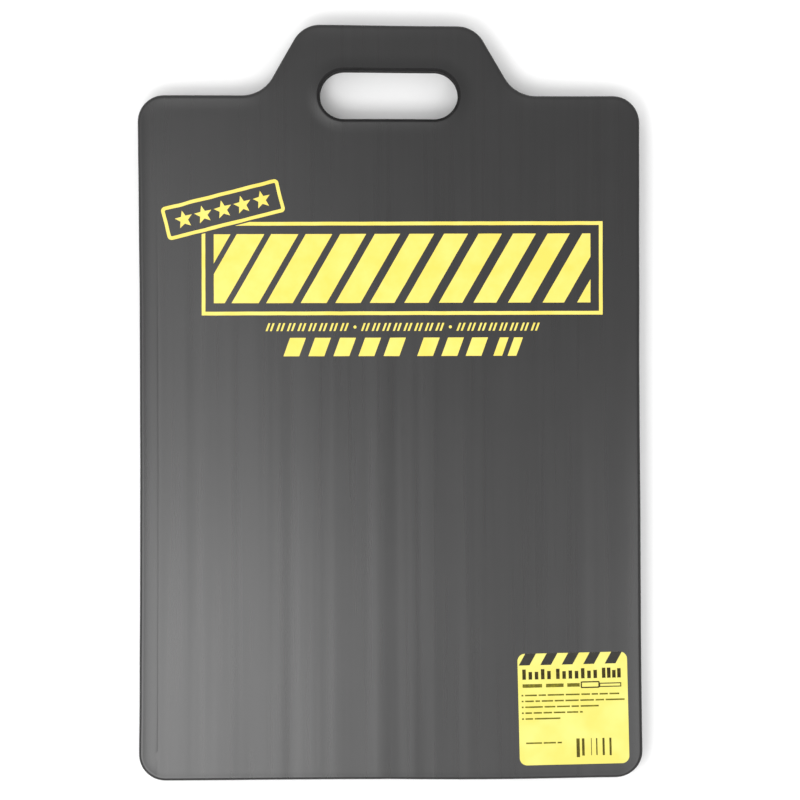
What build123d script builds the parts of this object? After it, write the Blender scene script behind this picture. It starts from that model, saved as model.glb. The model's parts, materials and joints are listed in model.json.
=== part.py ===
"""Kneeling mat for gardening: one thick closed-cell foam slab with a carry handle cut into a tab,
generic artwork screen-printed on its top face, and an adhesive label in one corner.

Millimetres, +Z up. The origin is the middle of the footprint on the bottom face, +Y runs to the handle.
"""

from build123d import *
import math
import os

# Foam slab
MAT_WIDTH = 355.6  # 14 in
MAT_LENGTH = 533.4  # 21 in, handle tab included
MAT_THICKNESS = 25.4  # 1 in
CORNER_RADIUS = 19.05
EDGE_RADIUS = 2  # the slight rounding of every top and bottom edge

# Handle tab and hand slot
TAB_HEIGHT = 49.6
TAB_TOP_WIDTH = 121.7  # between the sharp corners
TAB_SIDE_ANGLE = 60  # degrees from the mat's shoulder
TAB_TOP_RADIUS = 21
TAB_BASE_RADIUS = 25.4
SLOT_WIDTH, SLOT_HEIGHT = 98, 34.2
SLOT_TO_TAB_TOP = 49.1  # slot centre to the tab's top edge

# Film thicknesses
INK_THICKNESS = 0.1
ADHESIVE_THICKNESS = 0.05
LABEL_THICKNESS = 0.15
LABEL_INK_THICKNESS = 0.05

# Printed banner: a framed panel of leaning stripes that thin out to the right
BANNER_X, BANNER_Y = 9.1, 94.8
BANNER_WIDTH, BANNER_HEIGHT = 283.5, 66
BANNER_LINE = 2.6
BANNER_GAP = 6  # unprinted band between the frame line and the stripes
STRIPE_COUNT = 11
STRIPE_LEAN = 30  # degrees from upright
FIRST_FILL, LAST_FILL = 0.82, 0.62  # printed share of the stripe spacing, left and right
CUT_MARGIN = 1  # how far a cutting shape runs past what it cuts

# Printed stamp: a tilted frame holding a row of stars
STAMP_X, STAMP_Y = -117.5, 136.6
STAMP_WIDTH, STAMP_HEIGHT = 85.4, 24
STAMP_TILT = 14
STAMP_LINE = 2.5
STAMP_RADIUS = 3
STAMP_KEYLINE = 1.1  # unprinted margin around the stamp where it lies over the banner
STAR_COUNT = 5
STAR_SPACING = 14.2
STAR_RADIUS, STAR_WAIST = 6.6, 2.9

# Printed row of small leaning strokes in pairs with two dots, and the bold leaning blocks under it
FINE_X, FINE_Y = 9.4, 53.4
FINE_PAIRS = 26
FINE_SPACING = 7.5
FINE_STROKE, FINE_HEIGHT = 1.4, 5.6
FINE_STROKE_SPACING = 3
FINE_DOTS = (8, 17)  # places in the row that hold a dot
FINE_DOT_RADIUS = 1.1
BOLD_X, BOLD_Y = 11.2, 39.3
BOLD_HEIGHT = 13
BOLD_GROUPS = (  # middle of the first block, count, spacing, width
    (-78.2, 5, 17.7, 11.2),
    (16.4, 3, 17.1, 11.2),
    (67.7, 2, 10.1, 6.2),
)
ROW_LEAN = 20

# Adhesive label in the corner, its artwork placed from the label's top left corner
LABEL_X, LABEL_Y = 129.5, -216.7
LABEL_WIDTH, LABEL_HEIGHT = 77.5, 78.9
LABEL_RADIUS = 5.2
LABEL_TILT = 1.25
BAND_HEIGHT = 8.2
BAND_STRIPES = 5
BAND_SPACING = 15.2
BAND_STRIPE = 7.6
BAND_START = 7  # middle of the first stripe
LABEL_MARGIN = 2.3
HEADING_DROP = 18.3  # the line that the heading's blocks stand on
HEADING_STROKE = 2.5
HEADING_WORDS = (  # start, spacing, height of each block
    (3.2, 4.4, (7.2, 5.4, 5.4, 7.2, 5.8)),
    (27.1, 4.4, (7.2, 5.4, 5.8, 5.4, 7.2, 5.4, 5.8)),
    (59.5, 3.6, (7.2, 7.2, 5.4, 6.6)),
)
CAPTION_DROP, CAPTION_HEIGHT = 22.8, 2.5
CAPTION_WORDS = ((3.2, 13.8), (19.8, 12.4), (34.8, 8.8))  # start, length
LINE_DROP, LINE_SPACING, LINE_HEIGHT = 29.5, 4.15, 1.1
BULLET_WIDTH = 1.3
TEXT_INDENT = 4.8
WORD_GAP = 1.2
TEXT_LINES = (
    (8.4, 5.2, 11.6, 9.8, 6.1, 4.4, 5.8, 6.9),
    (6.1, 3.2, 8, 6.4, 9.3, 9.6, 5.9, 13.4),
    (12.4, 7.6, 9.1, 5.2, 12.8),
    (4.6, 5.8, 6, 8.2, 7.9, 2),
    (5.3, 18.1),
)
NOTE_DROP, NOTE_WORDS = 63.3, (11.2, 8.6, 3.1)
BARCODE_START, BARCODE_DROP = 40.3, 60.7
BARS = ((0, 2.3, 13.2), (3.9, 1.8, 12.2), (10.3, 0.5, 12), (13.9, 0.9, 12), (18.4, 1.5, 12.2), (23.3, 1.5, 12.4))
PAD_ICON_X, PAD_ICON_DROP = 51, 22.8
PAD_ICON_WIDTH, PAD_ICON_HEIGHT = 13.4, 4.8
PAD_ICON_LINE = 0.9
STRAP_START, STRAP_END = 57.4, 73  # a long narrow loop beside the pad
STRAP_DROP, STRAP_HEIGHT, STRAP_LINE = 23.2, 3, 0.7

# Worked out from the above
body_length = MAT_LENGTH - TAB_HEIGHT
bottom_y = -MAT_LENGTH / 2
shoulder_y = bottom_y + body_length
top_y = MAT_LENGTH / 2
tab_base_width = TAB_TOP_WIDTH + 2 * TAB_HEIGHT / math.tan(math.radians(TAB_SIDE_ANGLE))
slot_y = top_y - SLOT_TO_TAB_TOP

banner_plane = Plane((BANNER_X, BANNER_Y, MAT_THICKNESS))
stamp_plane = Plane((STAMP_X, STAMP_Y, MAT_THICKNESS)).rotated((0, 0, STAMP_TILT))
fine_plane = Plane((FINE_X, FINE_Y, MAT_THICKNESS))
bold_plane = Plane((BOLD_X, BOLD_Y, MAT_THICKNESS))
label_plane = Plane((LABEL_X, LABEL_Y, MAT_THICKNESS)).rotated((0, 0, LABEL_TILT))
label_face_plane = label_plane.offset(ADHESIVE_THICKNESS)
label_ink_plane = label_face_plane.offset(LABEL_THICKNESS)


def leaning_bar(width, height, lean):
    """Corners of a bar centred on its middle, its top leaning to the right by lean degrees."""
    shift = height / 2 * math.tan(math.radians(lean))
    return [
        (-width / 2 - shift, -height / 2),
        (width / 2 - shift, -height / 2),
        (width / 2 + shift, height / 2),
        (-width / 2 + shift, height / 2),
    ]


def star(points, tip_radius, waist_radius):
    """Corners of a star with one tip straight up."""
    corners = []
    for i in range(2 * points):
        radius = waist_radius if i % 2 else tip_radius
        angle = math.radians(90 + 180 * i / points)
        corners.append((radius * math.cos(angle), radius * math.sin(angle)))
    return corners


def on_label(across, down):
    """A place on the label, measured from its top left corner."""
    return (across - LABEL_WIDTH / 2, LABEL_HEIGHT / 2 - down)


def text_line(words, drop):
    """A line of plain bars, one for each word length, added to the sketch being made."""
    start = TEXT_INDENT
    for length in words:
        with Locations(on_label(start + length / 2, drop)):
            Rectangle(length, LINE_HEIGHT)
        start += length + WORD_GAP


def finish(piece, name):
    """Labels a finished piece and writes it as its own STEP file."""
    piece.label = name
    export_step(piece, f"parts/{name}.step")


os.makedirs("parts", exist_ok=True)

# Foam slab: the outline with its handle tab, the hand slot, and every long edge rounded
right_corners = (
    (MAT_WIDTH / 2, bottom_y, CORNER_RADIUS),
    (MAT_WIDTH / 2, shoulder_y, CORNER_RADIUS),
    (tab_base_width / 2, shoulder_y, TAB_BASE_RADIUS),
    (TAB_TOP_WIDTH / 2, top_y, TAB_TOP_RADIUS),
)
left_corners = tuple((-x, y, radius) for x, y, radius in reversed(right_corners))
outline = right_corners + left_corners

with BuildPart() as foam_mat:
    with BuildSketch(Plane.XY):
        with BuildLine():
            FilletPolyline(
                *[(x, y) for x, y, radius in outline],
                radius=[radius for x, y, radius in outline],
                close=True,
            )
        make_face()
        with Locations((0, slot_y)):
            SlotOverall(SLOT_WIDTH, SLOT_HEIGHT, mode=Mode.SUBTRACT)
    extrude(amount=MAT_THICKNESS)
    rims = foam_mat.edges().group_by(Axis.Z)
    fillet(rims[0] + rims[-1], radius=EDGE_RADIUS)
finish(foam_mat.part, "foam_mat")

# Banner: frame line, then the stripe field with its unprinted gaps, cut back around the stamp
window_width = BANNER_WIDTH - 2 * BANNER_LINE
window_height = BANNER_HEIGHT - 2 * BANNER_LINE
field_width = window_width - 2 * BANNER_GAP
field_height = window_height - 2 * BANNER_GAP
stripe_spacing = field_width / STRIPE_COUNT
gap_height = field_height + 2 * CUT_MARGIN
stamp_in_banner = Location((STAMP_X - BANNER_X, STAMP_Y - BANNER_Y), STAMP_TILT)
stamp_cut = (STAMP_WIDTH + 2 * STAMP_KEYLINE, STAMP_HEIGHT + 2 * STAMP_KEYLINE)

with BuildPart() as banner_print:
    with BuildSketch(banner_plane):
        Rectangle(BANNER_WIDTH, BANNER_HEIGHT)
        Rectangle(window_width, window_height, mode=Mode.SUBTRACT)
        with Locations(stamp_in_banner):
            RectangleRounded(*stamp_cut, STAMP_RADIUS + STAMP_KEYLINE, mode=Mode.SUBTRACT)
    with BuildSketch(banner_plane):
        Rectangle(field_width, field_height)
        for i in range(STRIPE_COUNT + 1):
            fill = FIRST_FILL + (LAST_FILL - FIRST_FILL) * i / STRIPE_COUNT
            gap = stripe_spacing * (1 - fill)
            with Locations((i * stripe_spacing - field_width / 2, 0)):
                Polygon(*leaning_bar(gap, gap_height, STRIPE_LEAN), mode=Mode.SUBTRACT)
        with Locations(stamp_in_banner):
            RectangleRounded(*stamp_cut, STAMP_RADIUS + STAMP_KEYLINE, mode=Mode.SUBTRACT)
    extrude(amount=INK_THICKNESS)
finish(banner_print.part, "banner_print")

with BuildPart() as stamp_frame_print:
    with BuildSketch(stamp_plane):
        RectangleRounded(STAMP_WIDTH, STAMP_HEIGHT, STAMP_RADIUS)
        RectangleRounded(
            STAMP_WIDTH - 2 * STAMP_LINE,
            STAMP_HEIGHT - 2 * STAMP_LINE,
            STAMP_RADIUS / 3,
            mode=Mode.SUBTRACT,
        )
    extrude(amount=INK_THICKNESS)
finish(stamp_frame_print.part, "stamp_frame_print")

with BuildPart() as stamp_stars_print:
    with BuildSketch(stamp_plane):
        with GridLocations(STAR_SPACING, 0, STAR_COUNT, 1):
            Polygon(*star(5, STAR_RADIUS, STAR_WAIST))
    extrude(amount=INK_THICKNESS)
finish(stamp_stars_print.part, "stamp_stars_print")

with BuildPart() as fine_rule_print:
    with BuildSketch(fine_plane):
        for i in range(FINE_PAIRS):
            middle = (i - (FINE_PAIRS - 1) / 2) * FINE_SPACING
            if i in FINE_DOTS:
                with Locations((middle, 0)):
                    Circle(FINE_DOT_RADIUS)
            else:
                side = FINE_STROKE_SPACING / 2
                with Locations((middle - side, 0), (middle + side, 0)):
                    Polygon(*leaning_bar(FINE_STROKE, FINE_HEIGHT, ROW_LEAN))
    extrude(amount=INK_THICKNESS)
finish(fine_rule_print.part, "fine_rule_print")

with BuildPart() as bold_blocks_print:
    with BuildSketch(bold_plane):
        for start, count, spacing, width in BOLD_GROUPS:
            for i in range(count):
                with Locations((start + i * spacing, 0)):
                    Polygon(*leaning_bar(width, BOLD_HEIGHT, ROW_LEAN))
    extrude(amount=INK_THICKNESS)
finish(bold_blocks_print.part, "bold_blocks_print")

# Label: adhesive layer, face stock, and the black artwork printed on it
with BuildPart() as label_adhesive:
    with BuildSketch(label_plane):
        RectangleRounded(LABEL_WIDTH, LABEL_HEIGHT, LABEL_RADIUS)
    extrude(amount=ADHESIVE_THICKNESS)
finish(label_adhesive.part, "label_adhesive")

with BuildPart() as label_face:
    with BuildSketch(label_face_plane):
        RectangleRounded(LABEL_WIDTH, LABEL_HEIGHT, LABEL_RADIUS)
    extrude(amount=LABEL_THICKNESS)
finish(label_face.part, "label_face")

with BuildPart() as label_stripes_print:
    with BuildSketch(label_ink_plane):
        for i in range(BAND_STRIPES):
            with Locations(on_label(BAND_START + i * BAND_SPACING, BAND_HEIGHT / 2)):
                Polygon(*leaning_bar(BAND_STRIPE, BAND_HEIGHT, STRIPE_LEAN))
        RectangleRounded(LABEL_WIDTH, LABEL_HEIGHT, LABEL_RADIUS, mode=Mode.INTERSECT)
    extrude(amount=LABEL_INK_THICKNESS)
finish(label_stripes_print.part, "label_stripes_print")

with BuildPart() as label_heading_print:
    with BuildSketch(label_ink_plane):
        for start, spacing, heights in HEADING_WORDS:
            for i, height in enumerate(heights):
                with Locations(on_label(start + i * spacing, HEADING_DROP)):
                    Rectangle(HEADING_STROKE, height, align=Align.MIN)
    extrude(amount=LABEL_INK_THICKNESS)
finish(label_heading_print.part, "label_heading_print")

with BuildPart() as label_text_print:
    with BuildSketch(label_ink_plane):
        for start, length in CAPTION_WORDS:
            with Locations(on_label(start + length / 2, CAPTION_DROP)):
                Rectangle(length, CAPTION_HEIGHT)
        for i, words in enumerate(TEXT_LINES):
            drop = LINE_DROP + i * LINE_SPACING
            with Locations(on_label(LABEL_MARGIN + BULLET_WIDTH / 2, drop)):
                Rectangle(BULLET_WIDTH, LINE_HEIGHT)
            text_line(words, drop)
        text_line(NOTE_WORDS, NOTE_DROP)
    extrude(amount=LABEL_INK_THICKNESS)
finish(label_text_print.part, "label_text_print")

with BuildPart() as label_barcode_print:
    with BuildSketch(label_ink_plane):
        for start, width, height in BARS:
            with Locations(on_label(BARCODE_START + start + width / 2, BARCODE_DROP + height / 2)):
                Rectangle(width, height)
    extrude(amount=LABEL_INK_THICKNESS)
finish(label_barcode_print.part, "label_barcode_print")

# Pad pictogram: the outline of a small flat pad, and a long narrow strap loop beside it
with BuildPart() as label_pictogram_print:
    with BuildSketch(label_ink_plane):
        with Locations(on_label(PAD_ICON_X, PAD_ICON_DROP)):
            RectangleRounded(PAD_ICON_WIDTH, PAD_ICON_HEIGHT, PAD_ICON_LINE)
            RectangleRounded(
                PAD_ICON_WIDTH - 2 * PAD_ICON_LINE,
                PAD_ICON_HEIGHT - 2 * PAD_ICON_LINE,
                PAD_ICON_LINE / 2,
                mode=Mode.SUBTRACT,
            )
        with Locations(on_label((STRAP_START + STRAP_END) / 2, STRAP_DROP)):
            strap_length = STRAP_END - STRAP_START
            Rectangle(strap_length, STRAP_HEIGHT)
            Rectangle(strap_length - 2 * STRAP_LINE, STRAP_HEIGHT - 2 * STRAP_LINE, mode=Mode.SUBTRACT)
    extrude(amount=LABEL_INK_THICKNESS)
finish(label_pictogram_print.part, "label_pictogram_print")
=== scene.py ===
"""Looks of the kneeling mat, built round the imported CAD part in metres: the foam slab with its rounded
edges and streaked skin, the screen print and the label laid over that skin, materials, light and camera.
"""

import json
import math

import bmesh
import bpy
from mathutils import Euler, Matrix, Vector, noise
from mathutils.geometry import delaunay_2d_cdt
from mathutils.kdtree import KDTree


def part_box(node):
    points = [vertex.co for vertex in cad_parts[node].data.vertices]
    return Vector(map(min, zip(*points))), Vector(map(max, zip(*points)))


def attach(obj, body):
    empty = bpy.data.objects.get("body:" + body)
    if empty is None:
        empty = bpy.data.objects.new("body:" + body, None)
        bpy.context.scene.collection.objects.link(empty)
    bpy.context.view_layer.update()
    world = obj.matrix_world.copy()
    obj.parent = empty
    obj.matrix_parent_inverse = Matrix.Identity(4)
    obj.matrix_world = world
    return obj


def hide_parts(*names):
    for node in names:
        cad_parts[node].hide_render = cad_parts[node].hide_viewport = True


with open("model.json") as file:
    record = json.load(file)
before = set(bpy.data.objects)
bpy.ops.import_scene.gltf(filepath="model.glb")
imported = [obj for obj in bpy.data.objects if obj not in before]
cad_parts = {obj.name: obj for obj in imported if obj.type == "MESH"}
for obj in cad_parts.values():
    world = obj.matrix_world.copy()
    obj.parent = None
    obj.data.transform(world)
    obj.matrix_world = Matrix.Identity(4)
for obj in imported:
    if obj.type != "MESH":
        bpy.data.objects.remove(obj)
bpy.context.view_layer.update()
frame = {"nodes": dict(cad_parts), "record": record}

MM = 0.001

# Foam slab: the CAD outline's corners as (x, y, radius), its rounding and how finely the mesh follows it
CORNER_RADIUS = 19.05 * MM
EDGE_RADIUS = 2 * MM
TAB_HEIGHT = 49.6 * MM
TAB_TOP_WIDTH = 121.7 * MM
TAB_SIDE_ANGLE = math.radians(60)
TAB_TOP_RADIUS = 21 * MM
TAB_BASE_RADIUS = 25.4 * MM
SLOT_WIDTH = 98 * MM
SLOT_HEIGHT = 34.2 * MM
OUTLINE_STEP = 1.6 * MM
FEWEST_ARC_STEPS = 2
ROUNDING_STEPS = 6
WALL_STEPS = 8
RIM_WIDTH = 11 * MM  # the top face curls towards its rims within this width
RIM_STEPS = 8
RIM_CURLS = (  # which side, how far the rim stands up there, over what width
    (Vector((-1, 0)), 0.5 * MM, 9 * MM),
    (Vector((1, 0)), -0.5 * MM, 11 * MM),
    (Vector((0, 1)), 0.5 * MM, 11 * MM),
    (Vector((0, -1)), 0.6 * MM, 8 * MM),
)
SLOT_LIP = 0.8 * MM  # the slot's rim stands up this far
SKIN_CELL = (1.2 * MM, 7 * MM)  # across and along the mat
UNDERSIDE_CELL = (8 * MM, 8 * MM)
CELL_MARGIN = 0.8 * MM  # the least distance from the innermost ring to a skin point
MERGE_DISTANCE = 1e-6  # points nearer than this are one
TRIANGULATION_TOLERANCE = 1e-7
INSIDE_ONLY = 1  # delaunay_2d_cdt's kind of result that leaves out faces outside the outline

# Unevenness of the foam, as seen from above with the handle at the top
BOW = (1.35 * MM, 0.75 * MM)  # the left and right sides pull in this far at the middle
BOTTOM_BOW = 0.48 * MM
BOTTOM_WAVE = 0.7 * MM  # right of its middle the bottom edge dips and then rises by this much
SPREAD = 0.65 * MM  # the right side leans out this far at the bottom, and in at the shoulder
SLANT = (0.6 * MM, 1.0 * MM)  # the left side is longer by this at its bottom and top, the right shorter
EDGE_FADE = 3  # the power by which an edge's unevenness fades towards the middle
EDGE_WAVER = 0.22 * MM
EDGE_WAVER_SPACING = 55 * MM
STREAKS = (  # spacing, height
    (30 * MM, 0.075 * MM),
    (15 * MM, 0.082 * MM),
    (7.5 * MM, 0.037 * MM),
    (3.8 * MM, 0.008 * MM),
)
STREAK_LENGTH = 600 * MM
STREAK_STRENGTH = (  # place along the mat, strength
    (-260 * MM, 1.9),
    (-140 * MM, 1.45),
    (30 * MM, 1.45),
    (140 * MM, 0.25),
)
FIRST_LAYER = 1  # where the streaks' layers lie in the noise, so that they don't repeat each other
LAYER_GAP = 7.3
TOP_SINK = 0.15 * MM  # the top edges lie this much further down
TAB_TURN = 0.008  # the tab slopes down to the right by this much of its width
SWELL_SPACING = 110 * MM
SWELL_HEIGHT = 0.10 * MM
CREASE_INSET = 13.4 * MM  # a fine crease in the skin runs beside the left edge
CREASE_WIDTH = 0.6 * MM
CREASE_DEPTH = 0.042 * MM
CREASE_COLUMNS = 3  # columns of skin points each side of the crease, half its width apart

EDGE_CUT, SLOT_CUT = 0.6, 0.995  # faces that lie less flat than this are cut foam, not skin
SLOT_SHADE_WIDTH = 12 * MM  # shade round the slot is painted darker on the skin this far out

# Print and label
PRINT_CELL = 3 * MM
STAMP_WAVER = 0.35 * MM  # the stamp's outline is uneven by this much, and the rest of the print by less
PRINT_WAVER = 0.10 * MM
WAVER_SPACING = 9 * MM

NOISE_SEED = 1  # noise_vector takes its place in the noise from the clock, unless it is given a seed
noise.seed_set(NOISE_SEED)

low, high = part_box("foam_mat")
thickness = high.z - low.z
record_mounts = {mount["name"]: mount for mount in frame["record"]["mounts"]}
slot_middle = Vector(record_mounts["hand_slot"]["pos_m"][:2])


# ---------------------------------------------------------------- foam slab


def mat_corners():
    """The slab's outline, counter-clockwise from the bottom right corner."""
    shoulder = high.y - TAB_HEIGHT
    tab_base = TAB_TOP_WIDTH / 2 + TAB_HEIGHT / math.tan(TAB_SIDE_ANGLE)
    right = [
        (high.x, low.y, CORNER_RADIUS),
        (high.x, shoulder, CORNER_RADIUS),
        (tab_base, shoulder, TAB_BASE_RADIUS),
        (TAB_TOP_WIDTH / 2, high.y, TAB_TOP_RADIUS),
    ]
    return right + [(-x, y, radius) for x, y, radius in reversed(right)]


def slot_corners():
    """The hand slot's outline, clockwise, so that the foam is on the same side of it as of the mat's."""
    x, y = SLOT_WIDTH / 2, SLOT_HEIGHT / 2
    corners = [(-x, -y), (-x, y), (x, y), (x, -y)]
    return [(slot_middle.x + x, slot_middle.y + y, SLOT_HEIGHT / 2) for x, y in corners]


def trace(corners):
    """Points round an outline with rounded corners, and the direction out of the foam at each."""
    points, outward = [], []
    arcs = []
    for i, (x, y, radius) in enumerate(corners):
        corner = Vector((x, y))
        back = (Vector(corners[i - 1][:2]) - corner).normalized()
        ahead = (Vector(corners[(i + 1) % len(corners)][:2]) - corner).normalized()
        half = back.angle(ahead) / 2
        setback = radius / math.tan(half)
        centre = corner + (back + ahead).normalized() * radius / math.sin(half)
        arcs.append((centre, radius, corner + back * setback, corner + ahead * setback))
    for i, (centre, radius, start, end) in enumerate(arcs):
        first, last = start - centre, end - centre
        turn = first.angle_signed(last)  # positive is clockwise
        steps = max(FEWEST_ARC_STEPS, round(abs(turn) * radius / OUTLINE_STEP))
        side = -1 if turn > 0 else 1
        for k in range(steps):
            arm = first.copy()
            arm.rotate(Matrix.Rotation(-turn * k / steps, 2))
            points.append(centre + arm)
            outward.append(arm.normalized() * side)
        run = arcs[(i + 1) % len(arcs)][2] - end
        steps = round(run.length / OUTLINE_STEP)
        for k in range(steps):
            points.append(end + run * k / steps)
            outward.append(Vector((run.y, -run.x)).normalized())
    return points, outward


def rounding_profile():
    """How far in from the outline and how high each ring of the slab's side lies, underside first."""
    quarter = [math.pi / 2 * k / ROUNDING_STEPS for k in range(ROUNDING_STEPS + 1)]
    insets = [EDGE_RADIUS * (1 - math.cos(a)) for a in quarter]
    rises = [EDGE_RADIUS * math.sin(a) for a in quarter]
    straight = thickness - 2 * EDGE_RADIUS
    lower = [(insets[k], EDGE_RADIUS - rises[k]) for k in reversed(range(ROUNDING_STEPS + 1))]
    wall = [(0, EDGE_RADIUS + straight * k / WALL_STEPS) for k in range(1, WALL_STEPS)]
    upper = [(insets[k], thickness - EDGE_RADIUS + rises[k]) for k in range(ROUNDING_STEPS + 1)]
    step = (RIM_WIDTH - EDGE_RADIUS) / RIM_STEPS
    face = [(EDGE_RADIUS + step * k, thickness) for k in range(1, RIM_STEPS + 1)]
    return lower + wall + upper + face


def side_rings(bm, points, outward):
    """Skins the slab's rounded side along one outline and returns its lowest and highest rings."""
    rings = []
    for inset, height in rounding_profile():
        ring = [bm.verts.new((*(p - n * inset), low.z + height)) for p, n in zip(points, outward)]
        if rings:
            below = rings[-1]
            for i in range(len(ring)):
                bm.faces.new((below[i - 1], below[i], ring[i], ring[i - 1]))
        rings.append(ring)
    return rings[0], rings[-1]


def stations(start, end, step):
    """The places after start that are a step apart, as far as end."""
    return [start + step * i for i in range(1, int((end - start) / step) + 1)]


def cap(bm, rims, inset, cell, crease_columns, upward):
    """Closes one face of the slab over a lattice of points. Its rims lie inset from the slab's walls."""
    height = rims[0][0].co.z
    rim = [v for ring in rims for v in ring]
    flat = [Vector(v.co.xy) for v in rim]
    edges = []
    first = 0
    for ring in rims:
        edges += [(first + i, first + (i + 1) % len(ring)) for i in range(len(ring))]
        first += len(ring)
    columns = stations(low.x, high.x, cell[0])
    columns = [x for x in columns if all(abs(x - near) > CREASE_WIDTH for near in crease_columns)]
    rows = stations(low.y, high.y, cell[1])
    for x in sorted(columns + crease_columns):
        places = [Vector((x, y)) for y in rows]
        column = [p for p in places if min(mat_rim(p)[0], slot_rim(p)[0]) > inset + CELL_MARGIN]
        if x in crease_columns:  # edges along the crease keep the triangles from bridging it
            edges += [(len(flat) + i, len(flat) + i + 1) for i in range(len(column) - 1)]
        flat += column
    triangulated = delaunay_2d_cdt(flat, edges, [], INSIDE_ONLY, TRIANGULATION_TOLERANCE)
    found, _, faces, origins, _, _ = triangulated
    verts = []
    for place, origin in zip(found, origins):
        known = [i for i in origin if i < len(rim)]
        verts.append(rim[known[0]] if known else bm.verts.new((*place, height)))
    hole = set(rims[1])
    for face in faces:
        corners = [verts[i] for i in face]
        if not hole.issuperset(corners):  # such a face would close the hand slot
            bm.faces.new(corners if upward else reversed(corners))


def rim_finder(outline):
    """A function that says how deep in the foam a flat point is, and which way its rim faces."""
    points, outward = outline
    tree = KDTree(len(points))
    for i, p in enumerate(points):
        tree.insert((*p, 0), i)
    tree.balance()

    def nearest_rim(point):
        i = tree.find((*point, 0))[1]
        return (points[i] - point).dot(outward[i]), outward[i]

    return nearest_rim


outlines = [trace(mat_corners()), trace(slot_corners())]
mat_rim = rim_finder(outlines[0])
slot_rim = rim_finder(outlines[1])


def along_points(place, points):
    """The value at a place between points given as (place, value), held past the first and last."""
    for (start, first), (end, last) in zip(points, points[1:]):
        if place < end:
            return first + (last - first) * max(0, place - start) / (end - start)
    return points[-1][1]


def relief(x, y):
    """How far the skin stands off its flat CAD face: swells, curling rims, streaks and the crease."""
    height = SWELL_HEIGHT * noise.noise(Vector((x, y, 0)) / SWELL_SPACING)
    depth, outward = mat_rim(Vector((x, y)))
    for side, curl, width in RIM_CURLS:
        height += curl * max(0, outward.dot(side)) ** 2 * max(0, 1 - depth / width) ** 2
    height += SLOT_LIP * max(0, 1 - slot_rim(Vector((x, y)))[0] / RIM_WIDTH) ** 2
    strength = along_points(y, STREAK_STRENGTH)
    for i, (spacing, size) in enumerate(STREAKS):
        place = Vector((x / spacing, y / STREAK_LENGTH, LAYER_GAP * i + FIRST_LAYER))
        height += strength * size * noise.noise(place)
    crease = (x - low.x - CREASE_INSET) / CREASE_WIDTH
    return height - strength * CREASE_DEPTH * math.exp(-crease * crease)


def foam_shift(co):
    """Where the real, slightly uneven foam has a point of the ideal slab."""
    along = min(max((co.y - low.y) / (high.y - TAB_HEIGHT - low.y), 0), 1)  # 0 bottom, 1 shoulders
    across = co.x / high.x  # -1 left side, 1 right side
    near_bottom = max(0, co.y / low.y) ** EDGE_FADE
    up_tab = max(1 - (high.y - co.y) / TAB_HEIGHT, 0)
    up_top_half = max(0, 2 * (co.z - low.z) / thickness - 1)
    pull = BOW[across > 0] * math.sin(math.pi * along) * across ** EDGE_FADE
    pull -= SPREAD * max(0, across) ** EDGE_FADE * (1 - 2 * along)
    rise = BOTTOM_BOW * math.cos(math.pi * across / 2) * near_bottom
    rise -= BOTTOM_WAVE * math.sin(1.5 * math.pi * max(0, across)) * near_bottom
    rise -= SLANT[co.y > 0] * across * co.y / high.y + TOP_SINK * max(0, co.y / high.y)
    rise -= TAB_TURN * co.x * up_tab
    waver = noise.noise_vector(co / EDGE_WAVER_SPACING) * EDGE_WAVER
    return Vector((waver.x - pull, waver.y + rise, relief(co.x, co.y) * up_top_half))


def foam_slab():
    """The foam mat's mesh: rounded sides, a coarse underside and a finely divided skin."""
    bm = bmesh.new()
    rims = [side_rings(bm, *outline) for outline in outlines]
    crease = low.x + CREASE_INSET
    sides = range(-CREASE_COLUMNS, CREASE_COLUMNS + 1)
    crease_columns = [crease + CREASE_WIDTH * k / 2 for k in sides]
    cap(bm, [rim[0] for rim in rims], EDGE_RADIUS, UNDERSIDE_CELL, [], upward=False)
    cap(bm, [rim[1] for rim in rims], RIM_WIDTH, SKIN_CELL, crease_columns, upward=True)
    bm.normal_update()
    for face in bm.faces:
        by_slot = slot_rim(face.calc_center_median().xy)[0] < RIM_WIDTH
        face.material_index = int(abs(face.normal.z) < (SLOT_CUT if by_slot else EDGE_CUT))
    # painted shade: how much darker the skin is painted near the slot, fading out over its width
    slot_shade = bm.verts.layers.float.new("slot_shade")
    for v in bm.verts:
        v[slot_shade] = max(0, 1 - abs(slot_rim(v.co.xy)[0]) / SLOT_SHADE_WIDTH)
        v.co += foam_shift(v.co)
    return bm


# ---------------------------------------------------------------- print and label films


def laid_film(node, waver):
    """A flat CAD film cut into small cells, wavering a little in outline, laid over the foam's skin."""
    bm = bmesh.new()
    bm.from_mesh(frame["nodes"][node].data)
    bmesh.ops.remove_doubles(bm, verts=bm.verts, dist=MERGE_DISTANCE)
    start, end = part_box(node)
    for axis in (0, 1):
        direction = Vector((axis == 0, axis == 1, 0))
        for place in stations(start[axis], end[axis], PRINT_CELL):
            everything = bm.verts[:] + bm.edges[:] + bm.faces[:]
            bmesh.ops.bisect_plane(
                bm, geom=everything, plane_co=direction * place, plane_no=direction
            )
    for v in bm.verts:
        shift = noise.noise_vector(Vector((v.co.x, v.co.y, 0)) / WAVER_SPACING) * waver
        v.co += Vector((shift.x, shift.y, relief(v.co.x, v.co.y)))
    return bm


def new_piece(name, bm, materials, node, smooth):
    """Makes a piece from a mesh, to ride on the mat and stand for its CAD node."""
    mesh = bpy.data.meshes.new(name)
    bm.to_mesh(mesh)
    bm.free()
    for material in materials:
        mesh.materials.append(material)
    mesh.polygons.foreach_set("use_smooth", [smooth] * len(mesh.polygons))
    piece = bpy.data.objects.new(name, mesh)
    bpy.context.scene.collection.objects.link(piece)
    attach(piece, "root")
    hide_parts(node)
    return piece


# ---------------------------------------------------------------- materials

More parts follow.
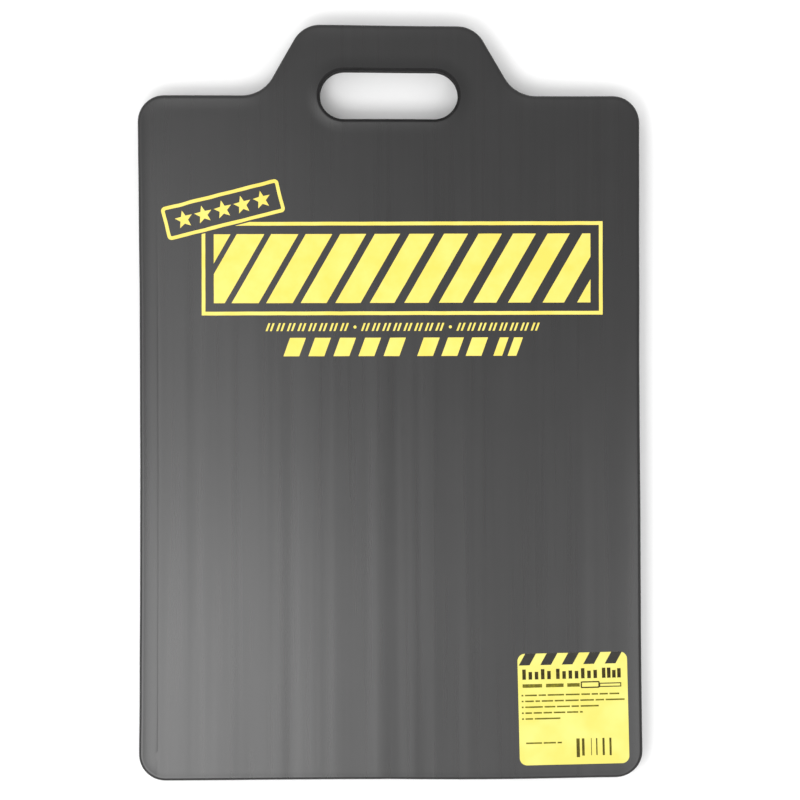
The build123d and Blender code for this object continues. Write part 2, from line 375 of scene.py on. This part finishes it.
# Noise spacings
STREAK_GRAIN = 5 * MM
CLOUD_GRAIN = 45 * MM
PORE_GRAIN = 0.9 * MM
CELL_GRAIN = 0.8 * MM
BAND_GRAIN = 6 * MM
INK_PATCHES = 18 * MM
LABEL_PATCHES = 22 * MM
LABEL_FIBRES = 0.5 * MM
INK_BLOTS = 2.2 * MM
ADHESIVE_HAZE = 3 * MM
FLOOR_FIBRES = 4 * MM
NOISE_ROUGHNESS = 0.55
COARSE, FINE = 2, 3  # levels of detail
DRAWN_ALONG = (1, 0.02, 1)  # stretches noise along the mat
DRAWN_ROUND = (0.3, 0.3, 1)  # stretches noise round the sides

# The span of noise values over which a surface changes: soft, sharp, in patches, in sparse ones
SOFT = (0.3, 0.7)
SHARP = (0.35, 0.65)
PATCHY = (0.4, 0.7)
SPARSE = (0.45, 0.75)
WHOLE = (0, 1)

FOAM_TONES = ((0.0050, 0.0048, 0.0049, 1), (0.0092, 0.0089, 0.0091, 1))
# the skin's colour at the slot's edge, darker to paint the shade there
FOAM_SLOT_SHADE = (0.003, 0.0029, 0.003, 1)
CUT_TONES = ((0.006, 0.0058, 0.0059, 1), (0.019, 0.0184, 0.0188, 1))
INK_YELLOWS = ((0.64, 0.515, 0.066, 1), (0.67, 0.56, 0.11, 1))
LABEL_YELLOWS = ((0.545, 0.49, 0.070, 1), (0.585, 0.54, 0.115, 1))
ADHESIVE_TONES = ((0.62, 0.58, 0.36, 1), (0.72, 0.69, 0.48, 1))
FLOOR_WHITES = ((0.84, 0.84, 0.84, 1), (0.86, 0.86, 0.86, 1))
BAND_INK = ((0.026, 0.025, 0.022, 1), (0.036, 0.034, 0.026, 1))  # each label ink full and thin
BLACK_INK = ((0.022, 0.016, 0.003, 1), (0.060, 0.048, 0.006, 1))
BAR_INK = ((0.055, 0.045, 0.004, 1), (0.12, 0.10, 0.006, 1))
BROWN_INK = ((0.095, 0.082, 0.006, 1), (0.18, 0.16, 0.010, 1))

# Roughness from and to, specular levels, and depths of pores and fibres
SKIN_ROUGHNESS = (0.268, 0.292)
CUT_ROUGHNESS = (0.8, 0.95)
INK_ROUGHNESS = (0.42, 0.55)
LABEL_ROUGHNESS = (0.34, 0.44)
LABEL_INK_ROUGHNESS = (0.65, 0.75)
ADHESIVE_ROUGHNESS = (0.25, 0.4)
FLOOR_ROUGHNESS = 0.9
SKIN_SPECULAR = 0.42
DULL_SPECULAR = 0.15
FLOOR_SPECULAR = 0.1
SKIN_PORE_DEPTH = 0.005 * MM
CUT_CELL_DEPTH = 0.15 * MM
INK_PORE_DEPTH = 0.02 * MM
FIBRE_DEPTH = 0.01 * MM


def feed(tree, made, inputs):
    """Sets a node's inputs. Each is given a value, or another node's output socket to be linked to."""
    for key, value in inputs.items():
        if isinstance(value, bpy.types.NodeSocket):
            tree.links.new(value, made.inputs[key])
        else:
            made.inputs[key].default_value = value


def add(tree, kind, inputs, **settings):
    """A shader node with its settings and inputs."""
    made = tree.nodes.new(kind)
    for name, value in settings.items():
        setattr(made, name, value)
    feed(tree, made, inputs)
    return made


def new_material(name):
    """An empty node material: its tree, its shader node and the object's own coordinates in metres."""
    material = bpy.data.materials.new(name)
    material.use_nodes = True
    tree = material.node_tree
    shader = tree.nodes["Principled BSDF"]
    coords = add(tree, "ShaderNodeTexCoord", {}).outputs["Object"]
    return material, tree, shader, coords


def grain(tree, coords, spacing, detail, stretch=(1, 1, 1)):
    """Noise with that spacing in metres, stretched along the axes, from 0 to 1."""
    scaled = add(tree, "ShaderNodeMapping", {"Vector": coords, "Scale": stretch}).outputs[0]
    inputs = {"Vector": scaled, "Scale": 1 / spacing, "Detail": detail, "Roughness": NOISE_ROUGHNESS}
    return add(tree, "ShaderNodeTexNoise", inputs).outputs[0]


def ranged(tree, value, span, result):
    """The value mapped from its span to the result's, held at its ends."""
    inputs = {0: value, 1: span[0], 2: span[1], 3: result[0], 4: result[1]}
    return add(tree, "ShaderNodeMapRange", inputs).outputs[0]


def combined(tree, operation, a, b):
    """Two numbers, or number sockets, combined by a Math node."""
    return add(tree, "ShaderNodeMath", {0: a, 1: b}, operation=operation).outputs[0]


def weighted(tree, *shares):
    """The sum of values, each given with its weight."""
    parts = [combined(tree, "MULTIPLY", value, weight) for value, weight in shares]
    total = parts[0]
    for part in parts[1:]:
        total = combined(tree, "ADD", total, part)
    return total


def mixed(tree, factor, a, b):
    """Two colours, or colour sockets, mixed by a factor."""
    inputs = {0: factor, 6: a, 7: b}
    return add(tree, "ShaderNodeMix", inputs, data_type="RGBA").outputs[2]


def bumped(tree, height, depth):
    """A normal socket for a surface that rises and falls by that depth."""
    return add(tree, "ShaderNodeBump", {"Height": height, "Distance": depth}).outputs[0]


def foam_material():
    """Dark grey closed-cell foam with a moulded skin: faint streaks, cloudy patches, fine pores, and
    shade painted darker round the slot.
    """
    material, tree, shader, coords = new_material("foam_skin")
    streaks = grain(tree, coords, STREAK_GRAIN, FINE, DRAWN_ALONG)
    clouds = grain(tree, coords, CLOUD_GRAIN, FINE)
    pores = grain(tree, coords, PORE_GRAIN, COARSE)
    tone = weighted(tree, (streaks, 0.4), (clouds, 0.5), (pores, 0.1))
    clean = mixed(tree, ranged(tree, tone, SOFT, WHOLE), *FOAM_TONES)
    # painted shade round the slot: the skin's colour darkens towards the slot's edge
    slot_shade = add(tree, "ShaderNodeAttribute", {}, attribute_name="slot_shade").outputs["Fac"]
    feed(tree, shader, {
        "Base Color": mixed(tree, slot_shade, clean, FOAM_SLOT_SHADE),
        "Roughness": ranged(tree, streaks, SOFT, SKIN_ROUGHNESS),
        "Specular IOR Level": SKIN_SPECULAR,
        "Normal": bumped(tree, pores, SKIN_PORE_DEPTH),
    })
    return material


def cut_foam_material():
    """The slab's cut sides: the same foam without its skin, dull and finely pitted."""
    material, tree, shader, coords = new_material("foam_cut")
    cells = grain(tree, coords, CELL_GRAIN, FINE)
    bands = grain(tree, coords, BAND_GRAIN, COARSE, DRAWN_ROUND)
    tone = weighted(tree, (cells, 0.6), (bands, 0.4))
    feed(tree, shader, {
        "Base Color": mixed(tree, ranged(tree, tone, SHARP, WHOLE), *CUT_TONES),
        "Roughness": ranged(tree, cells, SOFT, CUT_ROUGHNESS),
        "Specular IOR Level": DULL_SPECULAR,
        "Normal": bumped(tree, cells, CUT_CELL_DEPTH),
    })
    return material


def ink_material():
    """Yellow screen ink: a thin satin film that takes the foam's grain, a little uneven in tone."""
    material, tree, shader, coords = new_material("screen_ink")
    patches = grain(tree, coords, INK_PATCHES, FINE)
    pores = grain(tree, coords, PORE_GRAIN, COARSE)
    feed(tree, shader, {
        "Base Color": mixed(tree, ranged(tree, patches, SHARP, WHOLE), *INK_YELLOWS),
        "Roughness": ranged(tree, pores, SOFT, INK_ROUGHNESS),
        "Normal": bumped(tree, pores, INK_PORE_DEPTH),
    })
    return material


def label_material():
    """Satin yellow label stock with paler, slightly rubbed patches."""
    material, tree, shader, coords = new_material("label_stock")
    patches = grain(tree, coords, LABEL_PATCHES, COARSE)
    fibres = grain(tree, coords, LABEL_FIBRES, COARSE)
    feed(tree, shader, {
        "Base Color": mixed(tree, ranged(tree, patches, PATCHY, WHOLE), *LABEL_YELLOWS),
        "Roughness": ranged(tree, fibres, SOFT, LABEL_ROUGHNESS),
        "Normal": bumped(tree, fibres, FIBRE_DEPTH),
    })
    return material


def label_ink_material(name, tones):
    """Matt label ink, paler and browner where it is thin."""
    material, tree, shader, coords = new_material(name)
    blots = grain(tree, coords, INK_BLOTS, COARSE)
    feed(tree, shader, {
        "Base Color": mixed(tree, ranged(tree, blots, SPARSE, WHOLE), *tones),
        "Roughness": ranged(tree, blots, SOFT, LABEL_INK_ROUGHNESS),
        "Specular IOR Level": DULL_SPECULAR,
    })
    return material


def adhesive_material():
    """Clear adhesive, seen only as the label's faintly milky lower edge."""
    material, tree, shader, coords = new_material("label_adhesive")
    haze = grain(tree, coords, ADHESIVE_HAZE, COARSE)
    feed(tree, shader, {
        "Base Color": mixed(tree, haze, *ADHESIVE_TONES),
        "Roughness": ranged(tree, haze, WHOLE, ADHESIVE_ROUGHNESS),
    })
    return material


def floor_material():
    """Plain matt white paper."""
    material, tree, shader, coords = new_material("floor")
    fibres = grain(tree, coords, FLOOR_FIBRES, COARSE)
    feed(tree, shader, {
        "Base Color": mixed(tree, fibres, *FLOOR_WHITES),
        "Roughness": FLOOR_ROUGHNESS,
        "Specular IOR Level": FLOOR_SPECULAR,
    })
    return material


# ---------------------------------------------------------------- pieces

foam = [foam_material(), cut_foam_material()]
film_materials = {  # by the record's material slot, or by node where a node has its own
    "screen_ink": ink_material(),
    "label_adhesive": adhesive_material(),
    "label_stock": label_material(),
    "label_stripes_print": label_ink_material("label_band_ink", BAND_INK),
    "label_text_print": label_ink_material("label_text_ink", BROWN_INK),
    "label_barcode_print": label_ink_material("label_bar_ink", BAR_INK),
    "label_ink": label_ink_material("label_ink", BLACK_INK),
}
wavers = {  # by node or slot too, and none for the rest
    "stamp_frame_print": STAMP_WAVER,
    "stamp_stars_print": STAMP_WAVER,
    "screen_ink": PRINT_WAVER,
}
slots = {part["node"]: part["material_slot"] for part in frame["record"]["subparts"]}

slab = new_piece("foam_slab", foam_slab(), foam, "foam_mat", smooth=True)

for node, slot in slots.items():
    if node == "foam_mat":
        continue
    waver = wavers.get(node, wavers.get(slot, 0))
    material = film_materials.get(node) or film_materials[slot]
    new_piece(node + "_film", laid_film(node, waver), [material], node, smooth=False)


# ---------------------------------------------------------------- floor, light and camera

FLOOR_SIZE = 8
FLOOR_CELLS = 8
FLOOR_DROP = 0.05 * MM  # the floor lies this far under the mat
SKY_LEVEL = 1.28  # the room's brightness level with the floor
SKY_LEAN = Vector((-0.32, 0, -0.09))  # it brightens towards the left and dims overhead
SOFTBOXES = {  # place, width and depth, watts
    "key": ((-0.30, -0.328, 1.2), (0.50, 0.49), 6.2),
    "right_fill": ((0.40, -0.36, 1.2), (0.3, 0.6), 2.4),
    "left_fill": ((-0.30, 0.10, 1.2), (0.3, 0.3), 0.9),
}
CAMERA_LENS = 200
SENSOR_WIDTH = 36
CAMERA_RANGE = (0.05, 50)
CAMERA_PLACE = Vector((0.0074, 0.0017, 3.168))
CAMERA_TURN = math.radians(-0.132)


def white_floor():
    """The floor, which the camera sees all round the mat and through its slot."""
    mesh = bpy.data.meshes.new("floor")
    bm = bmesh.new()
    bmesh.ops.create_grid(bm, x_segments=FLOOR_CELLS, y_segments=FLOOR_CELLS, size=FLOOR_SIZE / 2)
    bmesh.ops.translate(bm, verts=bm.verts, vec=(0, 0, low.z - FLOOR_DROP))
    bm.to_mesh(mesh)
    bm.free()
    mesh.materials.append(floor_material())
    floor = bpy.data.objects.new("floor", mesh)
    bpy.context.scene.collection.objects.link(floor)


def softbox(name, place, size, power):
    """A rectangular area light facing straight down, which the camera doesn't see."""
    data = bpy.data.lights.new(name, "AREA")
    data.shape = "RECTANGLE"
    data.size, data.size_y = size
    data.energy = power
    lamp = bpy.data.objects.new(name, data)
    lamp.location = place
    lamp.visible_camera = False
    bpy.context.scene.collection.objects.link(lamp)


def pale_world():
    """White light from all round, which changes evenly with its direction."""
    world = bpy.data.worlds.new("studio")
    world.use_nodes = True
    tree = world.node_tree
    direction = add(tree, "ShaderNodeTexCoord", {}).outputs["Generated"]
    lean = add(tree, "ShaderNodeVectorMath", {0: direction, 1: SKY_LEAN}, operation="DOT_PRODUCT")
    level = combined(tree, "ADD", lean.outputs["Value"], SKY_LEVEL)
    background = tree.nodes["Background"]
    background.inputs["Color"].default_value = (1, 1, 1, 1)
    tree.links.new(level, background.inputs["Strength"])
    bpy.context.scene.world = world


def overhead_camera():
    """The photo's camera: straight above, far off with a long lens, and turned a little."""
    data = bpy.data.cameras.new("camera")
    data.lens = CAMERA_LENS
    data.sensor_width = SENSOR_WIDTH
    data.clip_start, data.clip_end = CAMERA_RANGE
    camera = bpy.data.objects.new("camera", data)
    camera.location = CAMERA_PLACE
    camera.rotation_euler = Euler((0, 0, CAMERA_TURN))
    bpy.context.scene.collection.objects.link(camera)
    bpy.context.scene.camera = camera


white_floor()
pale_world()
for name, (place, size, power) in SOFTBOXES.items():
    softbox(name, place, size, power)
overhead_camera()
bpy.context.scene.view_settings.view_transform = "Standard"
